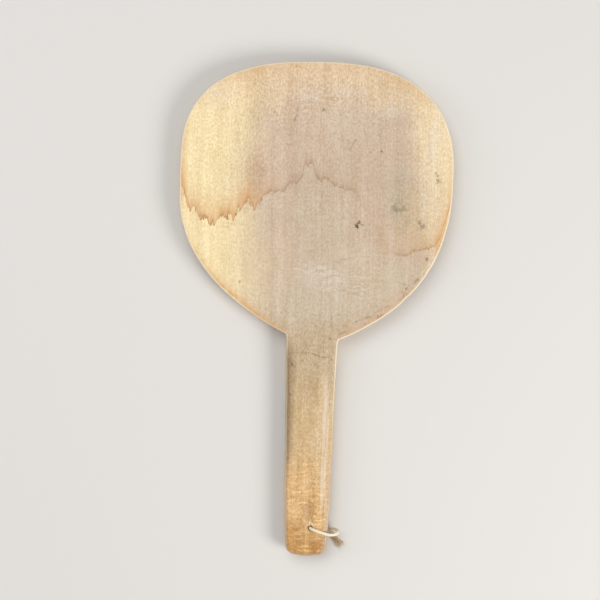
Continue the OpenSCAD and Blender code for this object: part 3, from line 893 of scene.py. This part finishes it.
def layPatches(wood, look):
    # soft patches over the zones, and pale ones where the scrubbing took the colour off
    stray = wood.plus((wood.cloud, 0.9), (wood.fleck, 0.7))
    for *oval, tint, share in look["overlays"]:
        wood.cover(wood.step(wood.plus(wood.inPatch(*oval), stray), 1.3, 0.4, 0, share), tint)
    for pale, ovals in byStrength(look["hazes"]):
        reach = wood.plus(wood.nearest(wood.inPatch, ovals), (wood.blotch, 2.4))
        wood.cover(wood.step(reach, 1.2, 0.3, 0, pale), look["haze"])


def shadeGripEdges(wood, look):
    # painted shade on the grip's rounded edges: along its left side, brown above and amber below, and along
    # its right rim below
    strayed = wood.plus(wood.rimGap, (wood.fleck, 1.6), (wood.streak, 5))
    left = wood.times(wood.step(strayed, 9, 0.4), wood.step(wood.x, -3, -8),
                      wood.step(wood.y, -16, -34), wood.step(wood.y, -92, -106, 1, 0.55))
    wood.cover(left, wood.mix(wood.step(wood.y, -84, -112), look["gripShade"], look["gripShadeAmber"]))
    right = wood.times(wood.step(wood.rimGap, 5.2, 0.8, 0, 0.75), wood.step(wood.x, 6, 9),
                       wood.step(wood.y, -88, -104))
    wood.cover(right, look["gripRightShade"])


def drawRays(wood, look):
    # ray figure: short bars across the grain, from a sine of the wandering height, and loose ripples below
    bars = wood.plus(wood.y, (wood.sway, 3))
    for *oval, spacing, share in look["rays"]:
        wave = wood.plus(wood.calc("SINE", wood.times(bars, 2 * math.pi / spacing)), (wood.ripple, 4))
        reach = wood.plus(wood.inPatch(*oval), (wood.fleck, 1.2))
        ray = wood.times(wood.step(wave, -0.2, 1), wood.step(reach, 1.25, 0.5, 0, share))
        wood.cover(ray, look["rayGold"])
    loose = wood.times(wood.step(wood.ripple, 0.02, 0.16), wood.step(wood.lowY, -76, -112, 0, 0.28))
    wood.cover(loose, look["rayGold"])


def shadeGrain(wood, look):
    # every colour is scaled by 1 + the weighted noises, more in blue than in red; some of them grow stronger
    # towards the handle
    grain = look["grain"]
    streaks = wood.plus(wood.step(wood.y, -10, -60, 1, 2.4), wood.step(wood.y, -80, -112))
    terms = [
        (wood.streak, streaks, grain["streak"]),
        (wood.fibre, grain["fibre"]),
        (wood.fleck, wood.curve(wood.y, -153, 153, look["fleckAlong"]), grain["fleck"]),
        (wood.ripple, wood.step(wood.y, -60, -110, grain["ripple"], grain["ripple"] * 2.5)),
        (wood.blotch, wood.step(wood.y, 10, -25, grain["blotch"], grain["blotch"] * 2.4)),
    ]
    for oval in look["chatter"]:
        reach = wood.plus(wood.inPatch(*oval), (wood.cloud, 2))
        terms.append((wood.lines, wood.step(reach, 1.2, 0.3, 0, grain["lines"])))
    shade = wood.plus(*terms)
    tinted = [wood.plus((shade, tint), 1) for tint in look["grainTint"]]
    shaded = wood.add("ShaderNodeCombineColor", dict(enumerate(tinted)))
    wood.color = wood.mix(1, wood.color, shaded, "MULTIPLY")


def addStain(wood, look):
    # the water stain: the height above the drawn tide line gives a wash that fades upwards in fingers,
    # shorter smears and a thin broken front
    low, high = look["tideRange"]
    drawn = [(x, (y - low) / (high - low)) for x, y in look["tideLine"]]
    line, brown, wash, smear, front = (
        wood.curve(wood.x, *look["tideSpan"], points) for points in
        (drawn, look["frontBrown"], look["washStrength"], look["smearStrength"], look["frontStrength"]))
    jag = wood.times(wood.plus((wood.rag, 5.5), (wood.teeth, 11)),
                     wood.step(brown, 0, 1, 0.5, 1), wood.step(wood.x, 30, 55, 1, 0.45))
    gap = wood.plus(wood.y, (line, low - high), -low, jag)
    inside = wood.times(wood.step(gap, -0.3, 0.4), wood.onFace)
    fading = wood.step(wood.plus(gap, (wood.finger, 26)), 22, -3, 0, 0.95)
    streaky = wood.step(wood.plus(wood.finger, (wood.rag, 0.6)), -0.14, 0.1, 0.7, 1.1)
    wood.cover(wood.times(inside, wash, fading, streaky), look["stainWash"])
    fading = wood.step(wood.plus(gap, (wood.finger, 9)), 8, 0.2, 0, 0.9)
    patchy = wood.step(wood.plus(wood.finger, (wood.fleck, 0.8)), -0.14, 0.14, 0.12, 1)
    tint = wood.mix(brown, look["stainDull"], look["stainSmear"])
    wood.cover(wood.times(inside, smear, fading, patchy), tint)
    upper = wood.step(brown, 0, 1, 2.6, 1.9)
    thin = wood.times(wood.step(gap, -0.35, 0.25), wood.step(gap, upper, 0.5, 0, 0.75))
    faintest = wood.step(brown, 0, 1, 0.25, 0.45)
    broken = wood.step(wood.plus(wood.fleck, wood.clump), -0.16, 0.16, faintest, 1)
    tint = wood.mix(brown, look["stainFaint"], look["stain"])
    wood.cover(wood.times(thin, broken, front, wood.onFace), tint)


def addMarks(wood, look):
    # ragged dark specks of mould and knocks, soft smudges, and scratches along short straight lines
    for dark, spots in byStrength(look["specks"]):
        away = wood.nearest(wood.inPatch, [(x, y, reach, reach) for x, y, reach in spots])
        share = wood.step(wood.plus(away, (wood.ragged, 4)), 1.25, 0.3, 0, dark)
        wood.cover(wood.times(share, wood.onFace), look["soot"])
    for *oval, dark in look["smudges"]:
        share = wood.step(wood.plus(wood.inPatch(*oval), (wood.fleck, 1.8)), 1.3, 0.1, 0, dark)
        wood.cover(wood.times(share, wood.onFace), look["smudge"])
    for strength, lines in byStrength(look["scratches"]):
        away = wood.plus(wood.nearest(wood.fromLine, lines), (wood.ragged, 2.4))
        share = wood.step(away, 2.2, 0.2, 0, abs(strength))
        wood.cover(wood.times(share, wood.onFace), look["soot" if strength > 0 else "paleWearAndHighlight"])


def soilRim(wood, look):
    # grime along the rim, in patches, paler on the blade's lower right
    patchy = wood.step(wood.plus(wood.fleck, wood.clump), -0.22, 0.2, 0.4, 1.15)
    lowerRight = wood.step(wood.y, 30, 14, 0, wood.step(wood.x, 0, 14))
    tint = wood.mix(lowerRight, look["grime"], look["grimePeach"])
    wood.cover(wood.times(wood.field("grime"), patchy, wood.step(wood.onSide, 0.4, 1, 0.8, 0.45)), tint)


def colorSides(wood, look):
    # the back is a little browner; on the sides the end grain is darker than the long grain, growth rings
    # stand across the thickness, and the saw left fine upright lines
    back = wood.calc("SUBTRACT", 1, wood.calc("MAXIMUM", wood.onSide, wood.onFace))
    wood.cover(wood.times(back, wood.step(wood.cloud, -0.1, 0.14, 0.2, 0.7)), look["backTan"])
    tint = wood.mix(wood.field("endShare"), look["sideTan"], look["endTan"])
    wood.cover(wood.times(wood.wall, wood.step(wood.fibre, -0.2, 0.2, 0.75, 0.4)), tint)
    ringSpacing, ringSlope = 2.6, 0.55
    ring = wood.plus(wood.x, (wood.z, ringSlope), (wood.cloud, 8))
    ring = wood.calc("SINE", wood.times(ring, 2 * math.pi / ringSpacing))
    marks = wood.plus(wood.step(ring, 0.1, 1, 0, 0.3), wood.step(wood.saw, 0.02, 0.22, 0, 0.35))
    wood.cover(wood.times(marks, wood.wall), look["ringBrown"])


def paleEdgesAndHighlights(wood, look):
    # pale at the very edge, most round the blade: wear together with a painted highlight where the rounded
    # edge catches light;
    # and a painted highlight in a stripe along the grip's right side, where its rounding starts
    grip = wood.times(wood.step(wood.y, -84, -52), wood.step(wood.y, 6, -12),
                      wood.step(wood.x, 8, 12, 0, 0.45))
    edge = wood.plus(grip, wood.step(wood.y, -12, 6, 0.35, 0.8))
    edge = wood.times(edge, wood.step(wood.rimGap, 1.5, 0.35), wood.step(wood.onSide, 1, 0.8))
    wood.cover(edge, look["paleWearAndHighlight"])
    strayed = wood.plus(wood.rimGap, (wood.rag, 3), (wood.fleck, 3))
    stripe = wood.times(wood.step(strayed, 2.3, 3.9), wood.step(strayed, 8.2, 5.8), wood.onFace,
                        wood.step(wood.y, -32, -62), wood.step(wood.y, -131, -114),
                        wood.step(wood.x, 4, 8), wood.step(wood.fibre, -0.15, 0.15, 0.1, 0.65))
    wood.cover(stripe, look["gripHighlight"])


def makeWood(look):
    # the layers of colour in turn, then a surface that is dry on the blade and handled smooth on the grip
    material, shader = startMaterial("scrubbedWood")
    wood = WoodDesk(material.node_tree, look)
    layers = (layZones, layPatches, shadeGripEdges, drawRays, shadeGrain, addStain, addMarks, soilRim, colorSides,
              paleEdgesAndHighlights)
    for layer in layers:
        layer(wood, look)
    dry = wood.plus(wood.step(wood.fibre, -0.2, 0.2, 0.62, 0.76), wood.step(wood.y, -25, -80, 0, -0.2))
    height = wood.plus((wood.fibre, 0.6), (wood.fleck, 0.4), (wood.saw, wood.wall))
    wood.fill(shader, {
        "Base Color": wood.color,
        "Roughness": dry,
        "Specular IOR Level": 0.35,
        "Normal": wood.add("ShaderNodeBump", {"Strength": 0.3, "Distance": 0.0002, "Height": height}),
    })
    return material


addRimGrime(board.data, woodLook)
board.data.materials.append(makeWood(woodLook))
print("wood finished")

cottonLook = {
    "clean": paint(255, 251, 236),
    "shade": paint(246, 234, 206),
    # colour of soiled twine, which also stands for painted shade where the twine lies low
    "soiledAndShaded": paint(164, 124, 62),
    "fibreWaves": (3.0, 3.0, 3.0),   # per mm
    "frayedFineness": 2.0,           # loose fibres are this much finer
}


def makeCottonFibres(look):
    # fine fibres for the twine and its loose ends: a dark-to-light share, and the same as a height
    group = bpy.data.node_groups.new("cottonFibres", "ShaderNodeTree")
    for name, way in (("Fineness", "INPUT"), ("Share", "OUTPUT"), ("Height", "OUTPUT")):
        group.interface.new_socket(name, in_out=way, socket_type="NodeSocketFloat")
    desk = NodeDesk(group)
    fineness = group.nodes.new("NodeGroupInput").outputs["Fineness"]
    fibre = desk.noise(desk.scaled(desk.placesInMm(), fineness), look["fibreWaves"], 4.0, 0.7)
    desk.fill(group.nodes.new("NodeGroupOutput"), {"Share": desk.step(fibre, 0.3, 0.7), "Height": fibre})
    return group


def makeCotton(name, look, fibres, fineness):
    material, shader = startMaterial(name)
    desk = NodeDesk(material.node_tree)
    share = desk.add("ShaderNodeGroup", {}, "Share", node_tree=fibres)
    share.node.inputs["Fineness"].default_value = fineness
    height = share.node.outputs["Height"]
    color = desk.mix(share, look["shade"], look["clean"])
    # the soil field, which also holds painted shade, darkens the twine towards the soiled colour
    soilAndShade = desk.times(desk.field("soilAndShade"), desk.step(height, 0.3, 0.7, 0.7, 1.1))
    desk.fill(shader, {
        "Base Color": desk.mix(soilAndShade, color, look["soiledAndShaded"]),
        "Roughness": 0.92,
        "Sheen Weight": 0.25,
        "Specular IOR Level": 0.2,
        "Normal": desk.add("ShaderNodeBump", {"Strength": 0.5, "Distance": 0.00008, "Height": height}),
    })
    return material


cottonFibres = makeCottonFibres(cottonLook)
twine.data.materials.append(makeCotton("twistedCotton", cottonLook, cottonFibres, 1.0))
frayed = makeCotton("frayedCotton", cottonLook, cottonFibres, cottonLook["frayedFineness"])
twineEnds.data.materials.append(frayed)
twineHairs.data.materials.append(frayed)
print("cotton finished")

# A pale floor and three soft lamps, in metres
stageLook = {
    "floor": paint(226, 224, 220),
    "floorRoughness": 0.8,
    "floorSide": 6.0,
    "floorZ": -0.0003,
    "worldColor": (0.93, 0.95, 1.0),
    "worldStrength": 0.37,
    "lamps": [                 # name, place, size, watts, colour
        ("window", (0.95, -0.55, 0.85), 0.7, 11.0, (1.0, 0.97, 0.92)),
        ("ceiling", (-0.45, 0.75, 1.5), 1.4, 10.6, (1.0, 0.99, 0.97)),
        ("doorway", (-1.15, 0.1, 0.7), 0.9, 3.4, (1.0, 0.98, 0.95)),
    ],
}


def makeFloor(look):
    side, z = look["floorSide"] / 2, look["floorZ"]
    corners = [(-side, -side, z), (side, -side, z), (side, side, z), (-side, side, z)]
    mesh = bpy.data.meshes.new("floor")
    mesh.from_pydata(corners, [], [(0, 1, 2, 3)])
    floor = intoScene("floor", mesh)
    material, shader = startMaterial("paleFloor")
    shader.inputs["Base Color"].default_value = look["floor"]
    shader.inputs["Roughness"].default_value = look["floorRoughness"]
    mesh.materials.append(material)


def makeLight(look):
    world = bpy.data.worlds.new("studio")
    world.use_nodes = True
    background = world.node_tree.nodes["Background"]
    background.inputs["Color"].default_value = (*look["worldColor"], 1.0)
    background.inputs["Strength"].default_value = look["worldStrength"]
    bpy.context.scene.world = world
    for name, place, size, watts, color in look["lamps"]:
        data = bpy.data.lights.new(name, "AREA")
        data.shape = "DISK"
        data.size = size
        data.energy = watts
        data.color = color
        lamp = intoScene(name, data)
        lamp.location = place
        x, y, z = unitRows(-np.array(place))   # each lamp faces the middle
        lamp.rotation_euler = (math.acos(-z), 0.0, math.atan2(y, x) - math.pi / 2)


makeFloor(stageLook)
makeLight(stageLook)
bpy.context.scene.view_settings.view_transform = "Standard"
print("stage lit")
